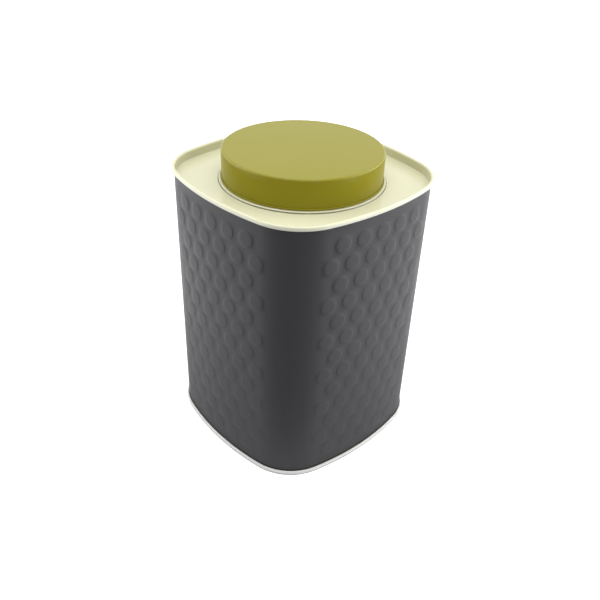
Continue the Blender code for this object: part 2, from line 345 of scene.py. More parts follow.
def solid(name, points, four, three, finishes, node, body):
    """A closed piece from points, quads and triangles, facing out, that stands for a CAD node.

    finishes holds (material, first face) pairs in the order of the faces, quads before triangles.
    """
    halves = np.concatenate([four[:, [0, 1, 2]], four[:, [0, 2, 3]], three])
    if volume(points, halves) < 0:
        four, three = four[:, ::-1], three[:, ::-1]
    mesh = bpy.data.meshes.new(name)
    corners = np.concatenate([four.ravel(), three.ravel()]).astype(np.int32)
    counts = np.concatenate([np.full(len(four), 4), np.full(len(three), 3)])
    starts = np.concatenate([[0], np.cumsum(counts)[:-1]]).astype(np.int32)
    mesh.vertices.add(len(points))
    mesh.vertices.foreach_set("co", points.astype(np.float32).ravel())
    mesh.loops.add(len(corners))
    mesh.loops.foreach_set("vertex_index", corners)
    mesh.polygons.add(len(counts))
    mesh.polygons.foreach_set("loop_start", starts)
    slots = np.zeros(len(counts), np.int32)
    for index, (material, first) in enumerate(finishes):
        mesh.materials.append(material)
        slots[first:] = index
    mesh.polygons.foreach_set("material_index", slots)
    mesh.update(calc_edges=True)
    mesh.validate()
    mesh.shade_smooth()
    mesh.set_sharp_from_angle(angle=SHARP_ANGLE)
    piece = bpy.data.objects.new(name, mesh)
    bpy.context.scene.collection.objects.link(piece)
    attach(piece, body)
    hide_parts(node)


def ring(name, grid, finishes, node, body):
    """A piece whose rows close on themselves, as a folded sheet's section does."""
    rows = np.arange(grid.shape[0] * grid.shape[1]).reshape(grid.shape[:2])
    faces = quads(np.concatenate([rows, rows[:1]]))
    none = np.zeros((0, 3), int)
    solid(name, grid.reshape(-1, 3), faces, none, finishes, node, body)


def capped(name, grid, finishes, node, body):
    """A piece whose first and last rows, both flat, each close in a fan about their middle."""
    count = grid.shape[1]
    rows = np.arange(grid.shape[0] * count).reshape(grid.shape[:2])
    points = np.concatenate([grid.reshape(-1, 3), [grid[0].mean(axis=0), grid[-1].mean(axis=0)]])
    top, bottom = len(points) - 2, len(points) - 1
    first, last = rows[0], rows[-1]
    fans = np.concatenate([
        np.stack([np.full(count, top), np.roll(first, -1), first], axis=1),
        np.stack([np.full(count, bottom), last, np.roll(last, -1)], axis=1)])
    solid(name, points, quads(rows), fans, finishes, node, body)


# Materials


def join(tree, node, inputs):
    """Sets inputs of a node: a value is set, an output is linked, and a node gives its output."""
    for key, value in inputs.items():
        if isinstance(value, bpy.types.Node):
            value = next(output for output in value.outputs if output.enabled)
        if isinstance(value, bpy.types.NodeSocket):
            tree.links.new(value, node.inputs[key])
        else:
            node.inputs[key].default_value = value


def add(tree, kind, inputs=None, **settings):
    """Adds a node, and sets its properties and then its inputs."""
    made = tree.nodes.new(kind)
    for name, value in settings.items():
        setattr(made, name, value)
    join(tree, made, inputs or {})
    return made


def start_material(name):
    """An empty material, its tree, its shader and its Object coordinates."""
    material = bpy.data.materials.new(name)
    material.use_nodes = True
    tree = material.node_tree
    shader = tree.nodes["Principled BSDF"]
    place = add(tree, "ShaderNodeTexCoord").outputs["Object"]
    return material, tree, shader, place


def mottled(tree, place, colour, sizes, share):
    """A colour that drifts by a share of itself over patches of each size in metres."""
    drift = 0.0
    for size in sizes:
        patches = add(tree, "ShaderNodeTexNoise", {"Vector": place, "Scale": 1 / size,
                                                   "Detail": 2.0})
        drift = add(tree, "ShaderNodeMath", {0: patches, 1: 1 / len(sizes), 2: drift},
                    operation="MULTIPLY_ADD")
    low = [channel * (1 - share) for channel in colour]
    high = [channel * (1 + share) for channel in colour]
    return add(tree, "ShaderNodeMix", {"Factor": drift, "A": (*low, 1.0), "B": (*high, 1.0)},
               data_type="RGBA")


def rising(tree, place, measure, low, high, top=1.0):
    """Nought below low and top beyond high on a measure of place, with a smooth step between.

    The measure is outward * distance from the +Z axis + upward * height.
    """
    outward, upward = measure
    level = add(tree, "ShaderNodeVectorMath", {0: place, 1: (1.0, 1.0, 0.0)}, operation="MULTIPLY")
    distance = add(tree, "ShaderNodeVectorMath", {0: level}, operation="LENGTH")
    height = add(tree, "ShaderNodeSeparateXYZ", {"Vector": place}).outputs["Z"]
    risen = add(tree, "ShaderNodeMath", {0: height, 1: upward}, operation="MULTIPLY")
    along = add(tree, "ShaderNodeMath", {0: distance, 1: outward, 2: risen},
                operation="MULTIPLY_ADD")
    return add(tree, "ShaderNodeMapRange", {"Value": along, "From Min": low, "From Max": high,
                                            "To Max": top}, interpolation_type="SMOOTHSTEP")


OUT, UP, BOTH = (1.0, 0.0), (0.0, 1.0), (1.0, 1.0)
Crest = namedtuple("Crest", "measure low high")
# A colour painted on a wall between two heights, darker for shade and paler for reflected light,
# with its own gloss
SideShading = namedtuple("SideShading", "colour gloss low high")
# A band of dark colour painted as shade in a crevice or under a foot
PaintedShade = namedtuple("PaintedShade", "measure middle width share")
RIM_CREST = Crest(UP, low=BODY_TOP - 0.0003, high=BODY_TOP - 0.0001)


def enamel(name, colour, roughness, gloss, satin, edge=None, side=None, soil=None):
    """Stoved enamel, roller-coated on tinplate before the sheet is folded.

    A clear gloss lies over satin pigment. It is smooth at arm's length, with the faint orange peel
    of a baked film, a grain of pigment, and roughness that drifts over patches as wide as a thumb.
    edge: the Crest where the film is rubbed, from low to high on a measure: OUT, UP or BOTH.
    side: a SideShading, a colour painted on a wall between two heights, darker for shade and paler
    for reflected light, with its own gloss.
    soil: a PaintedShade, dark colour painted as shade in a crevice or under a foot, in a band
    about a middle on a measure.
    """
    material, tree, shader, place = start_material(name)
    pigment = mottled(tree, place, colour, PIGMENT_PATCHES, PIGMENT_DRIFT)
    shine = gloss
    # Painted shade and reflection: the side's colour mixed into the pigment up its wall
    if side:
        above = rising(tree, place, UP, side.low, side.low + SIDE_SHADE_FADE_LOW)
        drawn = rising(tree, place, UP, side.high, side.high - SIDE_SHADE_FADE_HIGH, above)
        side_shade_pigment = mottled(tree, place, side.colour, PIGMENT_PATCHES, PIGMENT_DRIFT)
        pigment = add(tree, "ShaderNodeMix", {"Factor": drawn, "A": pigment, "B": side_shade_pigment},
                      data_type="RGBA")
        shine = add(tree, "ShaderNodeMath", {0: drawn, 1: side.gloss - gloss, 2: gloss},
                    operation="MULTIPLY_ADD")
    patches = add(tree, "ShaderNodeTexNoise", {"Vector": place, "Scale": 1 / SATIN_PATCH,
                                               "Detail": 3.0})
    rough = add(tree, "ShaderNodeMapRange", {"Value": patches, "To Min": roughness - SATIN_DRIFT,
                                             "To Max": roughness + SATIN_DRIFT})
    if edge:
        crest = rising(tree, place, edge.measure, edge.low, edge.high, WEAR_SHARE)
        patches = add(tree, "ShaderNodeTexNoise", {"Vector": place, "Scale": 1 / WEAR_PATCH,
                                                   "Detail": 5.0})
        rubbed = add(tree, "ShaderNodeMapRange", {"Value": patches, "From Min": WEAR_START,
                                                  "From Max": WEAR_FULL, "To Max": crest},
                     interpolation_type="SMOOTHSTEP")
        pigment = add(tree, "ShaderNodeMix", {"Factor": rubbed, "A": pigment,
                                              "B": (*linear(WORN_COLOUR), 1.0)},
                      data_type="RGBA")
        rough = add(tree, "ShaderNodeMath", {0: rubbed, 1: WEAR_ROUGHNESS, 2: rough},
                    operation="MULTIPLY_ADD")
    # Painted shade: dark colour mixed into the pigment in a band where shade falls
    if soil:
        inner = rising(tree, place, soil.measure, soil.middle - soil.width,
                       soil.middle - soil.width / 2, soil.share)
        painted_shade_mask = rising(tree, place, soil.measure, soil.middle + soil.width,
                       soil.middle + soil.width / 2, inner)
        pigment = add(tree, "ShaderNodeMix", {"Factor": painted_shade_mask, "A": pigment,
                                              "B": (*linear(PAINTED_SHADE_COLOUR), 1.0)},
                      data_type="RGBA")
    peel = add(tree, "ShaderNodeTexNoise", {"Vector": place, "Scale": 1 / PEEL_PATCH,
                                            "Detail": 1.0})
    bump = add(tree, "ShaderNodeBump", {"Height": peel, "Distance": PEEL_DEPTH})
    join(tree, shader, {"Base Color": pigment, "Roughness": rough, "Normal": bump, "IOR": 1.5,
                        "Specular IOR Level": satin, "Coat Weight": shine,
                        "Coat Roughness": 0.10})
    return material


def slate_satin_enamel(name):
    """The wall's dark grey, with a painted shadow line in the crevice just above the seam at the
    foot.
    """
    look = bpy.context.scene.canister_finish
    # Painted shade: a dark line on the wall where it meets the bottom seam, standing in for its
    # contact shadow
    painted_shade_band = PaintedShade(UP, middle=BOTTOM_SEAM_HEIGHT + 0.0002, width=0.0007, share=0.8)
    return enamel(name, look.wall_colour, look.wall_roughness, gloss=0.0, satin=0.24, soil=painted_shade_band)


def lid_gloss_enamel(name):
    """The lid's olive, rubbed round its upper corner, with painted shade darkening its side."""
    look = bpy.context.scene.canister_finish
    corner = LID_RADIUS + LID_TOP
    rubbed = Crest(BOTH, low=corner - 0.0011, high=corner - 0.0008)
    # Painted shade: a darker copy of the olive on the lid's side, with less gloss
    wall = SideShading(look.lid_side_shade_colour, gloss=0.15, low=0.0, high=LID_TOP - 0.0002)
    return enamel(name, look.lid_colour, look.lid_roughness, gloss=0.60, satin=0.06, edge=rubbed,
                  side=wall)


def cream(name, colour, **parts):
    """The gloss cream enamel of the two ends and the neck, in one of its colours."""
    look = bpy.context.scene.canister_finish
    return enamel(name, colour, look.end_roughness, gloss=0.5, satin=0.25, **parts)


def top_gloss_enamel(name):
    """Cream inside the rim: rubbed on its crest, with painted shade down its wall and a painted
    shadow line in the crevice round the neck.
    """
    look = bpy.context.scene.canister_finish
    # Painted shade: a darker cream on the rim's inner wall, with less gloss
    wall = SideShading(look.rim_wall_shade_colour, gloss=0.3, low=PANEL_TOP + 0.0002, high=BODY_TOP - 0.0004)
    # Painted shade: a dark line in the crevice outside the neck's bead, standing in for its shadow
    painted_shade_band = PaintedShade(OUT, middle=NECK_BEAD_RADIUS - 0.00015, width=0.0006, share=0.6)
    return cream(name, look.end_colour, edge=RIM_CREST, side=wall, soil=painted_shade_band)


def seam_gloss_enamel(name):
    """Cream outside the rim: rubbed on its crest, with a paler, less yellow cream painted on the
    seam's outer face as reflected white light.
    """
    look = bpy.context.scene.canister_finish
    # Painted reflection: a paler, less yellow cream on the outer face of the seam
    wall = SideShading(look.seam_reflection_colour, gloss=0.3, low=0.0, high=BODY_TOP - 0.0004)
    return cream(name, look.end_colour, edge=RIM_CREST, side=wall)


def neck_gloss_enamel(name):
    """Cream of the neck, rubbed round its mouth by the lid."""
    rubbed = Crest(UP, low=NECK_TOP - 0.0004, high=NECK_TOP - 0.0001)
    return cream(name, bpy.context.scene.canister_finish.end_colour, edge=rubbed)


def foot_gloss_enamel(name):
    """The bottom end's paler cream, with painted shade along the foot where it stands."""
    # Painted shade: a darker band along the foot's underside, where it stands
    painted_shade_band = PaintedShade(UP, middle=0.0, width=0.0013, share=0.45)
    return cream(name, bpy.context.scene.canister_finish.foot_colour, soil=painted_shade_band)


def bare_tinplate(name):
    """Bright tinplate, unpainted inside the tin: mirror-dull, with fine rolling lines along X."""
    material, tree, shader, place = start_material(name)
    stretched = add(tree, "ShaderNodeMapping", {"Vector": place,
                                                "Scale": (ROLLING_STRETCH, 1.0, 1.0)})
    lines = add(tree, "ShaderNodeTexNoise", {"Vector": stretched, "Scale": 1 / ROLLING_LINE,
                                             "Detail": 2.0})
    rough = add(tree, "ShaderNodeMapRange", {"Value": lines, "To Min": 0.24, "To Max": 0.36})
    tin = mottled(tree, place, linear("#BDBDB6"), SPANGLE_PATCHES, SPANGLE_DRIFT)
    join(tree, shader, {"Base Color": tin, "Roughness": rough, "Metallic": 1.0})
    return material


def moulded(name, colour, roughness, subsurface):
    """A moulded soft plastic: even and waxy, with a fine texture left by the spark-eroded tool."""
    material, tree, shader, place = start_material(name)
    resin = mottled(tree, place, colour, (RESIN_PATCH,), RESIN_DRIFT)
    tool = add(tree, "ShaderNodeTexNoise", {"Vector": place, "Scale": 1 / TOOL_PATCH,
                                            "Detail": 1.0})
    bump = add(tree, "ShaderNodeBump", {"Height": tool, "Distance": TOOL_DEPTH})
    join(tree, shader, {"Base Color": resin, "Normal": bump, "Roughness": roughness,
                        "Subsurface Weight": subsurface, "Subsurface Scale": 1.0,
                        "Subsurface Radius": (0.002, 0.002, 0.0015)})
    return material


def moulded_polyethylene(name):
    """The liner's milky white."""
    return moulded(name, linear("#EFEFE8"), roughness=0.45, subsurface=0.2)


def moulded_silicone(name):
    """The seal's softer and duller white."""
    return moulded(name, linear("#DADAD2"), roughness=0.55, subsurface=0.5)


def finish(make):
    """A material, made once and named after its function. No slot of the record has its name."""
    return bpy.data.materials.get(make.__name__) or make(make.__name__)


# Settings


class CanisterShape(bpy.types.PropertyGroup):
    """The wall's relief, the largest shape that the solids leave to this file."""

    boss_height: FloatProperty(
        name="Boss height", description="How far each boss is pressed out of the wall",
        default=0.00026, min=0.0, max=0.001, unit="LENGTH", precision=5)
    boss_width: FloatProperty(
        name="Boss width", description="Across one boss, over its rounded shoulder",
        default=0.0094, min=0.004, max=0.010, unit="LENGTH", precision=4)
    shoulder: FloatProperty(
        name="Shoulder", description="Width of the slope round a boss",
        default=0.0008, min=0.0003, max=0.0015, unit="LENGTH", precision=4)
    taper: FloatProperty(
        name="Taper", description="Height of the lowest row's bosses, as a share of the highest's",
        default=0.4, min=0.0, max=1.0)
    columns: IntProperty(
        name="Columns", description="Places for a boss on one side of the wall and one corner",
        default=8, min=3, max=9)
    spread: FloatProperty(
        name="Spread", description="How many places from a side's middle still carry a boss",
        default=2.5, min=0.0, max=4.0)
    rows: IntProperty(
        name="Rows", description="Rows of bosses up the wall", default=13, min=1, max=15)


def tint(name, description, hex_colour):
    """A colour setting."""
    return FloatVectorProperty(name=name, description=description, subtype="COLOR",
                               default=linear(hex_colour), min=0.0, max=1.0)


class CanisterFinish(bpy.types.PropertyGroup):
    """Colours and gloss of the three enamels."""

    wall_colour: tint("Wall", "Dark grey enamel of the wall", "#3D3C3C")
    wall_roughness: FloatProperty(
        name="Wall roughness", description="Satin wall enamel", default=0.45, min=0.0, max=1.0)
    end_colour: tint("Top", "Cream enamel of the top end and neck", "#E2E1BE")
    foot_colour: tint("Foot", "Paler enamel of the bottom end", "#DADAD2")
    # Painted reflection: the cream made paler and less yellow for the seam's outer face
    seam_reflection_colour: tint("Seam", "Top end's enamel, stretched pale where the seam was rolled",
                      "#DDDCC6")
    end_roughness: FloatProperty(
        name="End roughness", description="Gloss end enamel", default=0.21, min=0.0, max=1.0)
    # Painted shade: the cream darkened for the rim's inner wall
    rim_wall_shade_colour: tint("Rim side", "The same enamel drawn thin inside the rim", "#D0CEAC")
    lid_colour: tint("Lid", "Olive enamel of the lid's top", "#918B14")
    # Painted shade: the lid's olive darkened for its side
    lid_side_shade_colour: tint("Lid side", "The same enamel drawn thin down the side", "#89811B")
    lid_roughness: FloatProperty(
        name="Lid roughness", description="Gloss lid enamel", default=0.31, min=0.0, max=1.0)


class CanisterStudio(bpy.types.PropertyGroup):
    """Light levels of the white tent round the canister."""

    tent: FloatProperty(
        name="Tent", description="Brightness of the tent's back and sides", default=0.87, min=0.0)
    crown: FloatProperty(
        name="Crown", description="Brightness overhead", default=1.87, min=0.0)
    left_box: FloatProperty(
        name="Left box", description="Brightness that a softbox adds on the left", default=1.88,
        min=0.0)
    right_box: FloatProperty(
        name="Right box", description="Brightness that a softbox adds on the right", default=3.21,
        min=0.0)
    mouth: FloatProperty(
        name="Mouth", description="Brightness of the open side, where the camera stands",
        default=0.31, min=0.0)
    mouth_colour: tint("Mouth colour", "Cooler light of the room beyond the open side", "#F3F4FF")
    floor_glow: FloatProperty(
        name="Floor glow", description="White added to the floor as the camera and gloss see it",
        default=0.52, min=0.0)


# Pieces


def boss_rise(r, shape):
    """Height of a boss at distances r from its centre.

    The shoulder is smoothstep((radius - r) / shoulder). The crown is 1 - (r / radius) ** 2.
    """
    radius = shape.boss_width / 2
    slope = np.clip((radius - r) / shape.shoulder, 0, 1)
    crown = np.clip(1 - (r / radius) ** 2, 0, 1)
    shoulder = slope ** 2 * (3 - 2 * slope)
    return shape.boss_height * ((1 - BOSS_CROWN) * shoulder + BOSS_CROWN * crown)


def boss_cell(pitch, rise, shape):
    """One oblong cell of the wall about its boss's middle, as points (along, up).

    The cell's edge is a ring of points. It is met by a ring on the same bearings at the boss's
    foot, at thirds of its shoulder and half way in, and by the centre.
    Returns the heights of the points between the edge's corners, and all the points inside it.
    """
    level = np.linspace(-pitch / 2, pitch / 2, CELL_STEPS + 1)
    upright = np.linspace(-rise / 2, rise / 2, CELL_RISES + 1)[1:-1]
    edge = np.concatenate([
        np.stack([level, np.full(len(level), -rise / 2)], axis=1),
        np.stack([np.full(len(upright), pitch / 2), upright], axis=1),
        np.stack([level[::-1], np.full(len(level), rise / 2)], axis=1),
        np.stack([np.full(len(upright), -pitch / 2), upright[::-1]], axis=1)])
    bearing = np.arctan2(edge[:, 1], edge[:, 0])
    foot = shape.boss_width / 2
    radii = np.array([foot, foot - shape.shoulder / 3, foot - shape.shoulder * 2 / 3,
                      foot - shape.shoulder, foot / 2])
    rings = radii[:, None, None] * unit(bearing)
    return upright, np.concatenate([rings.reshape(-1, 2), [[0.0, 0.0]]])


def pressed_face(shape):
    """The wall's outer face as cells in staggered rows, with a boss in most of them.

    Cells share the points of their edges, and the cells past the spread, round the corners, stay
    flat.
    Returns points, quads and triangles, and the numbers of the lowest and highest rows' points.
    """
    columns = 4 * shape.columns
    pitch = square_arcs()[0][-1] / columns
    rise = pitch * math.sqrt(3) / 2
    row, column = (part.ravel() for part in np.indices((shape.rows, columns)))
    place = column + row % 2 / 2
    height = WALL_MIDDLE + (row - (shape.rows - 1) / 2) * rise
    off_middle = (place + shape.columns / 2) % shape.columns - shape.columns / 2
    bossed = np.abs(off_middle) <= shape.spread + SPREAD_SLACK
    share = row / max(shape.rows - 1, 1)
    taper = shape.taper + (1 - shape.taper) * share
    upright, inner = boss_cell(pitch, rise, shape)
    lift = boss_rise(np.hypot(inner[:, 0], inner[:, 1]), shape)

    stations = columns * CELL_STEPS
    levels = WALL_MIDDLE + (np.arange(shape.rows + 1) - shape.rows / 2) * rise
    line_length = np.tile(pitch / CELL_STEPS * np.arange(stations), shape.rows + 1)
    post_length = np.repeat(pitch * (place - 0.5), len(upright))
    post_height = (height[:, None] + upright).ravel()
    inner_length = (pitch * place[:, None] + inner[:, 0]).ravel()
    inner_height = (height[:, None] + inner[:, 1]).ravel()
    inner_lift = ((bossed * taper)[:, None] * lift).ravel()
    length = np.concatenate([line_length, post_length, inner_length])
    up = np.concatenate([np.repeat(levels, stations), post_height, inner_height])
    push = np.concatenate([np.zeros(len(line_length) + len(post_length)), inner_lift])
    centre, direction, radius = along_square(length)
    flat = centre + (radius + push)[:, None] * direction
    points = np.concatenate([flat, up[:, None]], axis=1)

    lines = np.arange(len(line_length)).reshape(shape.rows + 1, stations)
    posts = len(line_length) + np.arange(len(post_length)).reshape(shape.rows, columns, -1)
    first = (CELL_STEPS * place - CELL_STEPS / 2).astype(int)
    along = (first[:, None] + np.arange(CELL_STEPS + 1)) % stations
    edge_numbers = np.concatenate([
        lines[row[:, None], along], posts[row, (column + 1) % columns],
        lines[row[:, None] + 1, along][:, ::-1], posts[row, column][:, ::-1]], axis=1)
    inner_numbers = len(line_length) + len(post_length) + np.arange(len(inner_length))
    inner_numbers = inner_numbers.reshape(len(row), len(inner))
    rings = np.concatenate([edge_numbers, inner_numbers[:, :-1]], axis=1)
    rings = rings.reshape(len(row), -1, edge_numbers.shape[1])
    ahead = np.roll(rings, -1, axis=2)
    four = np.stack([rings[:, :-1], rings[:, 1:], ahead[:, 1:], ahead[:, :-1]], axis=-1)
    tip = np.broadcast_to(inner_numbers[:, -1:], rings[:, -1].shape)
    three = np.stack([ahead[:, -1], rings[:, -1], tip], axis=-1)
    return points, four.reshape(-1, 4), three.reshape(-1, 3), lines[0], lines[-1]


def lock_seam():
    """The flat bar of the wall's lock seam, inside the middle of the +Y face, as rows of points.

    Its section is (along the wall, inward). The notch is where the folded edge ends.
    """
    half, deep, root = LOCK_SEAM_WIDTH / 2, LOCK_SEAM_THICKNESS, -LOCK_SEAM_ROOT
    place, notch = LOCK_SEAM_NOTCH_PLACE, LOCK_SEAM_NOTCH
    flank, crest = half - LOCK_SEAM_SHOULDER, deep - LOCK_SEAM_SHOULDER
    across, depth = np.array([
        (-half, root), (-half, crest), (-flank, deep), (place - notch, deep),
        (place, deep - notch), (place + notch, deep), (flank, deep), (half, crest),
        (half, root)]).T
    low = BOTTOM_PANEL_DEPTH + SHEET + BOTTOM_STEP_RISE + LOCK_SEAM_END_GAP
    high = PANEL_TOP - SHEET - LOCK_SEAM_END_GAP
    levels = np.array([low, low + SHEET, high - SHEET, high])
    ends = np.array([0.0, 1.0, 1.0, 0.0])
    middle, direction, radius = along_square(square_arcs()[0][-1] / 4 + across)
    out = -SHEET - depth * np.where(depth > 0, ends[:, None], 1.0)
    flat = middle + (radius + out)[..., None] * direction
    up = np.broadcast_to(levels[:, None, None], flat[..., :1].shape)
    return np.concatenate([flat, up], axis=2)


class CANISTER_OT_wall(bpy.types.Operator):
    """The wall: a sheet hooked into both seams, with pressed bosses on its outer face"""

    bl_idname = "canister.wall"
    bl_label = "Body wall"

    def execute(self, context):
        shape = context.scene.canister_shape
        top_fold = BODY_TOP - SHEET / 2 - 2 * PITCH
        top_tip = BODY_TOP - TOP_SEAM_HEIGHT + SHEET / 2 + PITCH
        bottom_fold = SHEET / 2 + 2 * PITCH
        bottom_tip = BOTTOM_SEAM_HEIGHT - SHEET / 2 - PITCH
        top_hook = folded((SEAM_MIDDLE + PITCH, top_tip), 90,
                          [run(top_fold - top_tip), bend(PITCH, 180, WALL_HOOK_FACETS)])
        bottom_hook = folded((-SHEET / 2, bottom_fold), 270,
                             [bend(PITCH, 180, WALL_HOOK_FACETS), run(bottom_tip - bottom_fold)])
        turn = len(top_hook) // 2
        up_inside = np.linspace(bottom_fold, top_fold, UPRIGHT_ROWS + 2)[1:-1]
        inside = np.stack([np.full(len(up_inside), -SHEET), up_inside], axis=1)
        section = np.concatenate([bottom_hook, inside, top_hook[turn:], top_hook[:turn]])
        face_points, face_four, face_three, lowest, highest = pressed_face(shape)
        grid = carry(section, square_outline(len(lowest)))
        numbers = len(face_points) + np.arange(grid[..., 0].size).reshape(grid.shape[:2])
        rows = np.concatenate([[lowest], numbers, [highest]])
        first = len(bottom_hook)
        last = first + len(inside) + 1
        hooks = np.concatenate([quads(rows[:first + 1]), quads(rows[last:])])
        lining = quads(rows[first:last + 1])
        points = np.concatenate([face_points, grid.reshape(-1, 3)])
        outside = len(face_four) + len(hooks)
        four = np.concatenate([face_four, hooks, lining])
        solid("embossed_wall", points, four, face_three,
              [(finish(slate_satin_enamel), 0), (finish(bare_tinplate), outside),
               (finish(slate_satin_enamel), len(four))], "body_wall", "tin")
        capped("lock_seam", lock_seam(), [(finish(bare_tinplate), 0)], "body_wall", "tin")
        return {"FINISHED"}


class CANISTER_OT_top(bpy.types.Operator):
    """The top end: a sunk panel with a round hole, turned up and over the wall's edge"""

    bl_idname = "canister.top"
    bl_label = "Top end"

    def execute(self, context):
        fold = BODY_TOP - SHEET / 2 - 2 * PITCH
        low_fold = BODY_TOP - TOP_SEAM_HEIGHT + SHEET / 2 + PITCH
        panel = PANEL_TOP - SHEET / 2
        corner = PANEL_BEND + SHEET / 2
        steps = [bend(corner, 90, PANEL_BEND_FACETS), run(fold - panel - corner),
                 bend(2 * PITCH, -180, CREST_FACETS), run(fold - low_fold),
                 bend(PITCH, -180, END_HOOK_FACETS), run(fold - low_fold)]
        outline = square_outline(END_STATIONS)
        rim = carry(folded((CHUCK_WALL - corner, panel), 0, steps), outline)
        rays = unit(np.arctan2(rim[0, :, 1], rim[0, :, 0]))
        outward, down = CREVICE_PROFILE.T
        radii = np.concatenate([[HOLE_RADIUS], NECK_BEAD_RADIUS + CREVICE_WIDTH * outward])
        level = PANEL_TOP - np.concatenate([[0.0], CREVICE_DEPTH * down])
        reach = radii[:, None, None] * rays
        up = np.broadcast_to(level[:, None, None], reach[..., :1].shape)
        inner = np.concatenate([reach, up], axis=2)
        outer = inner[-1] + PANEL_RINGS[:, None, None] * (rim[0] - inner[-1])
        upper = np.concatenate([inner, outer])
        lower = (upper - [0.0, 0.0, SHEET])[::-1]
        rows = [len(shares) for _, _, shares in steps]
        crest = len(upper) + 1 + rows[0] + rows[1] + rows[2] // 2
        inside = len(upper) + len(rim) // 2
        ring("seamed_top_end", np.concatenate([upper, rim, lower]),
             [(finish(top_gloss_enamel), 0),
              (finish(seam_gloss_enamel), crest * END_STATIONS),
              (finish(bare_tinplate), inside * END_STATIONS)],
             "top_plate", "tin")
        return {"FINISHED"}


class CANISTER_OT_bottom(bpy.types.Operator):
    """The bottom end: a sunk panel with a raised middle, turned down to the foot and up"""

    bl_idname = "canister.bottom"
    bl_label = "Bottom end"

    def execute(self, context):
        fold = SHEET / 2 + 2 * PITCH
        high_fold = BOTTOM_SEAM_HEIGHT - SHEET / 2 - PITCH
        panel = BOTTOM_PANEL_DEPTH + SHEET / 2
        corner = PANEL_BEND + SHEET / 2
        foot_bend = 2 * PITCH - FOOT_LAND / 2
        slope = math.radians(BOTTOM_STEP_SLOPE)
        slant = (BOTTOM_STEP_RISE - 2 * SHEET * (1 - math.cos(slope))) / math.sin(slope)
        step_run = 2 * SHEET * math.sin(slope) + slant * math.cos(slope)
        flat = BOTTOM_STEP_INSET - step_run + CHUCK_WALL - corner
        steps = [run(LEAD_IN), bend(SHEET, -BOTTOM_STEP_SLOPE, STEP_FACETS), run(slant),
                 bend(SHEET, BOTTOM_STEP_SLOPE, STEP_FACETS), run(flat),
                 bend(corner, -90, PANEL_BEND_FACETS),
                 run(panel - corner - fold + 2 * PITCH - foot_bend),
                 bend(foot_bend, 90, FOOT_FACETS), run(FOOT_LAND),
                 bend(foot_bend, 90, FOOT_FACETS),
                 run(high_fold - fold + 2 * PITCH - foot_bend),
                 bend(PITCH, 180, END_HOOK_FACETS), run(high_fold - fold)]
        start = (-BOTTOM_STEP_INSET - LEAD_IN, panel + BOTTOM_STEP_RISE)
        grid = carry(folded(start, 0, steps), square_outline(END_STATIONS))
        inside = sum(len(shares) for _, _, shares in steps[:6]) * END_STATIONS
        around = (len(grid) - 1) * END_STATIONS
        outer, inner = finish(foot_gloss_enamel), finish(bare_tinplate)
        capped("seamed_bottom_end", grid, [(inner, 0), (outer, inside), (inner, around),
                                           (outer, around + END_STATIONS)],
               "bottom_plate", "tin")
        return {"FINISHED"}


class CANISTER_OT_neck(bpy.types.Operator):
    """The neck: a lip clinched under the panel, a folded bead on it, and a mouth rolled in"""

    bl_idname = "canister.neck"
    bl_label = "Neck"

    def execute(self, context):
        wall = NECK_RADIUS - SHEET / 2
        turn = NECK_BEND + SHEET / 2
        lip = NECK_LIP + SHEET / 2
        layer = PANEL_TOP + CLINCH_GAP + SHEET / 2
        bead_edge = NECK_BEAD_RADIUS - SHEET / 2 - PITCH / 2
        curl = NECK_CURL_RADIUS - SHEET / 2
        square = bend(turn, -90, NECK_BEND_FACETS)
        steps = [run(CLINCH_REACH - turn), square, run(layer - lip - 2 * turn), square,
                 run(bead_edge - wall - turn), bend(PITCH / 2, 180, BEAD_FACETS),
                 run(bead_edge - wall - turn), square,
                 run(NECK_TOP - NECK_CURL_RADIUS - layer - PITCH - turn),
                 bend(curl, NECK_CURL_TURN, MOUTH_FACETS)]
        section = folded((wall + CLINCH_REACH, lip), 180, steps)
        ring("rolled_neck", carry(section, round_outline(ROUND_STATIONS)),
             [(finish(neck_gloss_enamel), 0)], "neck_ring", "tin")
        return {"FINISHED"}


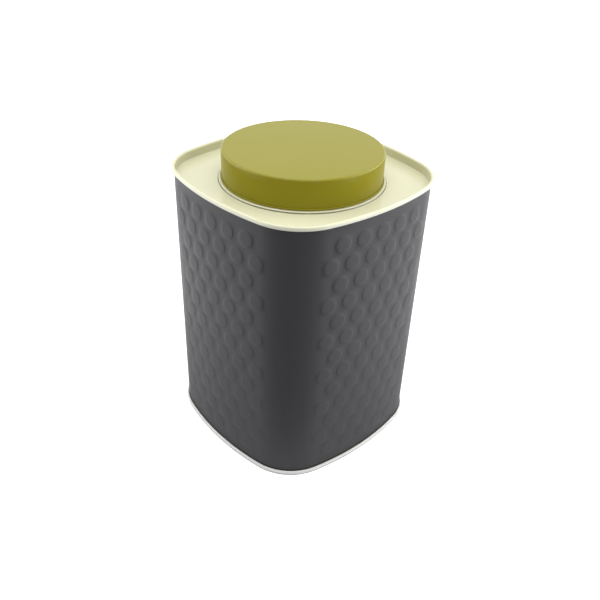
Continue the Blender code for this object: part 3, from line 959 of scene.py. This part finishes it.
class CANISTER_OT_lid(bpy.types.Operator):
    """The lid: a drawn cap with a rolled lower edge, its moulded liner and its seal"""

    bl_idname = "canister.lid"
    bl_label = "Lid"

    def execute(self, context):
        outline = round_outline(ROUND_STATIONS)
        edge = LID_EDGE_RADIUS - SHEET / 2
        wall = LID_RADIUS - SHEET / 2
        curl = LID_CURL_RADIUS - SHEET / 2
        top = LID_TOP - SHEET / 2
        steps = [run(LEAD_IN), bend(edge, -90, LID_EDGE_FACETS),
                 run(top - edge - LID_FOOT - LID_CURL_RADIUS),
                 bend(curl, LID_CURL_TURN, LID_CURL_FACETS)]
        section = folded((wall - edge - LEAD_IN, top), 0, steps)
        inside = (len(section) // 2 + len(steps[-1][2])) * ROUND_STATIONS
        around = (len(section) - 1) * ROUND_STATIONS
        outer, inner = finish(lid_gloss_enamel), finish(bare_tinplate)
        capped("drawn_cap", carry(section, outline), [(outer, 0), (inner, inside), (outer, around),
                                                      (inner, around + ROUND_STATIONS)],
               "lid_cap", "lid")
        under = LINER_HIGH - LINER_SHEET
        bore = SKIRT_RADIUS - LINER_SHEET
        liner = np.array([
            (LINER_RADIUS - LINER_CHAMFER, LINER_HIGH), (LINER_RADIUS, LINER_HIGH - LINER_CHAMFER),
            (LINER_RADIUS, under), (SKIRT_RADIUS, under), (SKIRT_RADIUS, LINER_LOW + LINER_LEAD),
            (SKIRT_RADIUS - LINER_LEAD, LINER_LOW), (bore + LINER_LEAD, LINER_LOW),
            (bore, LINER_LOW + LINER_LEAD), (bore, under)])
        capped("moulded_liner", carry(liner, outline), [(finish(moulded_polyethylene), 0)],
               "lid_liner", "lid")
        seal = np.array([
            (SEAL_INSIDE, SEAL_HIGH), (SEAL_RADIUS - SEAL_BEVEL, SEAL_HIGH),
            (SEAL_RADIUS, SEAL_HIGH - SEAL_BEVEL), (SEAL_RADIUS, SEAL_LOW + SEAL_BEVEL),
            (SEAL_RADIUS - SEAL_BEVEL, SEAL_LOW), (SEAL_INSIDE, SEAL_LOW)])
        ring("seal_ring", carry(seal, outline), [(finish(moulded_silicone), 0)],
             "lid_seal", "lid")
        return {"FINISHED"}


# Stage


class CANISTER_OT_stage(bpy.types.Operator):
    """The white floor, the light tent and the camera"""

    bl_idname = "canister.stage"
    bl_label = "Stage"

    def execute(self, context):
        studio = context.scene.canister_studio
        across, near = Vector(CAMERA_RIGHT) * CARD_SIDE, Vector(CAMERA_SIDE)
        front, back = near * CARD_FRONT, near * -CARD_BACK
        mesh = bpy.data.meshes.new("floor")
        mesh.from_pydata([front - across, front + across, back + across, back - across], [],
                         [(0, 1, 2, 3)])
        mesh.materials.append(tent_floor(studio.floor_glow))
        floor = bpy.data.objects.new("floor", mesh)
        context.scene.collection.objects.link(floor)
        context.scene.world = light_tent(studio)
        lens = bpy.data.cameras.new("camera")
        lens.lens = CAMERA_LENS
        lens.sensor_width = CAMERA_SENSOR
        lens.clip_start = 0.01
        lens.clip_end = 50.0
        camera = bpy.data.objects.new("camera", lens)
        context.scene.collection.objects.link(camera)
        sight = near * math.cos(CAMERA_ELEVATION)
        sight.z = math.sin(CAMERA_ELEVATION)
        turns = [(CAMERA_AZIMUTH, "Z"), (math.pi / 2 - CAMERA_ELEVATION, "X"),
                 (CAMERA_YAW, "Y"), (CAMERA_PITCH, "X"), (CAMERA_ROLL, "Z")]
        turned = Matrix.Identity(4)
        for angle, axis in turns:
            turned = turned @ Matrix.Rotation(angle, 4, axis)
        place = Vector((0.0, 0.0, CAMERA_AIM_HEIGHT)) + sight * CAMERA_DISTANCE
        camera.matrix_world = Matrix.Translation(place) @ turned
        context.scene.camera = camera
        context.scene.view_settings.view_transform = "Standard"
        return {"FINISHED"}


def tent_floor(glow):
    """Matt white card, with a glow that takes it to white and leaves a shadow.

    Only the camera, gloss and glass see the glow, so it doesn't light the canister. Gloss sees it
    grow with distance from the canister, a painted shadow round it in the canister's reflections.
    """
    material, tree, shader, place = start_material("white_card")
    path = add(tree, "ShaderNodeLightPath")
    # Painted shadow: gloss sees no glow close round the canister
    gloss = rising(tree, place, OUT, PAINTED_SHADOW_FADE_START, PAINTED_SHADOW_FADE_END, path.outputs["Is Glossy Ray"])
    plain = add(tree, "ShaderNodeMath", {0: path.outputs["Is Camera Ray"],
                                         1: path.outputs["Is Transmission Ray"]},
                operation="MAXIMUM")
    seen = add(tree, "ShaderNodeMath", {0: plain, 1: gloss}, operation="MAXIMUM")
    strength = add(tree, "ShaderNodeMath", {0: seen, 1: glow}, operation="MULTIPLY")
    join(tree, shader, {"Base Color": (*linear("#EDEDED"), 1.0), "Roughness": 0.9,
                        "Specular IOR Level": 0.0, "Emission Color": WHITE,
                        "Emission Strength": strength})
    return material


def light_tent(studio):
    """World of a white tent with an open side towards the camera.

    The level falls from the tent's to the mouth's as the direction turns to the open side, by a
    smooth step on their dot product. It rises to a box's at either side and to the crown's
    overhead. The colour turns cooler by the same step as the mouth's. The camera sees plain white,
    and gloss sees the tent.
    """
    world = bpy.data.worlds.new("light_tent")
    world.use_nodes = True
    tree = world.node_tree
    tree.nodes.clear()
    place = add(tree, "ShaderNodeTexCoord").outputs["Generated"]
    towards = add(tree, "ShaderNodeVectorMath", {0: place, 1: CAMERA_SIDE},
                  operation="DOT_PRODUCT")
    opened = add(tree, "ShaderNodeMapRange", {"Value": towards, "From Min": MOUTH_START,
                                              "From Max": MOUTH_FULL},
                 interpolation_type="SMOOTHSTEP")
    level = add(tree, "ShaderNodeMix", {"Factor": opened, "A": studio.tent, "B": studio.mouth})
    across = add(tree, "ShaderNodeVectorMath", {0: place, 1: CAMERA_RIGHT},
                 operation="DOT_PRODUCT")
    for side, box in ((-1, studio.left_box), (1, studio.right_box)):
        glow = add(tree, "ShaderNodeMapRange", {"Value": across, "From Min": side * BOX_START,
                                                "From Max": side * BOX_FULL, "To Max": box},
                   interpolation_type="SMOOTHSTEP")
        level = add(tree, "ShaderNodeMath", {0: level, 1: glow})
    height = add(tree, "ShaderNodeSeparateXYZ", {"Vector": place}).outputs["Z"]
    overhead = add(tree, "ShaderNodeMapRange", {"Value": height, "From Min": CROWN_START,
                                                "From Max": CROWN_FULL},
                   interpolation_type="SMOOTHSTEP")
    level = add(tree, "ShaderNodeMix", {"Factor": overhead, "A": level, "B": studio.crown})
    camera_ray = add(tree, "ShaderNodeLightPath").outputs["Is Camera Ray"]
    seen = add(tree, "ShaderNodeMix", {"Factor": camera_ray, "A": level, "B": BACKDROP_LEVEL})
    cooler = add(tree, "ShaderNodeMix", {"Factor": opened, "A": WHITE,
                                         "B": (*studio.mouth_colour, 1.0)}, data_type="RGBA")
    colour = add(tree, "ShaderNodeMix", {"Factor": camera_ray, "A": cooler, "B": WHITE},
                 data_type="RGBA")
    background = add(tree, "ShaderNodeBackground", {"Color": colour, "Strength": seen})
    add(tree, "ShaderNodeOutputWorld", {"Surface": background})
    return world


# Panel and registration


class CANISTER_PT_panel(bpy.types.Panel):
    """Settings and operators of the canister"""

    bl_idname = "CANISTER_PT_panel"
    bl_label = "Tea canister"
    bl_space_type = "VIEW_3D"
    bl_region_type = "UI"
    bl_category = "Canister"

    def draw(self, context):
        for group in (context.scene.canister_shape, context.scene.canister_finish,
                      context.scene.canister_studio):
            box = self.layout.box()
            for name in group.__annotations__:
                box.prop(group, name)
        for operator in OPERATORS:
            self.layout.operator(operator.bl_idname)


SETTINGS = {"canister_shape": CanisterShape, "canister_finish": CanisterFinish,
            "canister_studio": CanisterStudio}
OPERATORS = (CANISTER_OT_wall, CANISTER_OT_top, CANISTER_OT_bottom, CANISTER_OT_neck,
             CANISTER_OT_lid, CANISTER_OT_stage)


def register():
    for group in SETTINGS.values():
        bpy.utils.register_class(group)
    for name, group in SETTINGS.items():
        setattr(bpy.types.Scene, name, PointerProperty(type=group))
    for operator in OPERATORS:
        bpy.utils.register_class(operator)
    bpy.utils.register_class(CANISTER_PT_panel)


def unregister():
    bpy.utils.unregister_class(CANISTER_PT_panel)
    for operator in reversed(OPERATORS):
        bpy.utils.unregister_class(operator)
    for name in SETTINGS:
        delattr(bpy.types.Scene, name)
    for group in reversed(SETTINGS.values()):
        bpy.utils.unregister_class(group)


def main():
    register()
    bpy.ops.canister.wall()
    bpy.ops.canister.top()
    bpy.ops.canister.bottom()
    bpy.ops.canister.neck()
    bpy.ops.canister.lid()
    bpy.ops.canister.stage()


if __name__ == "__main__":
    main()
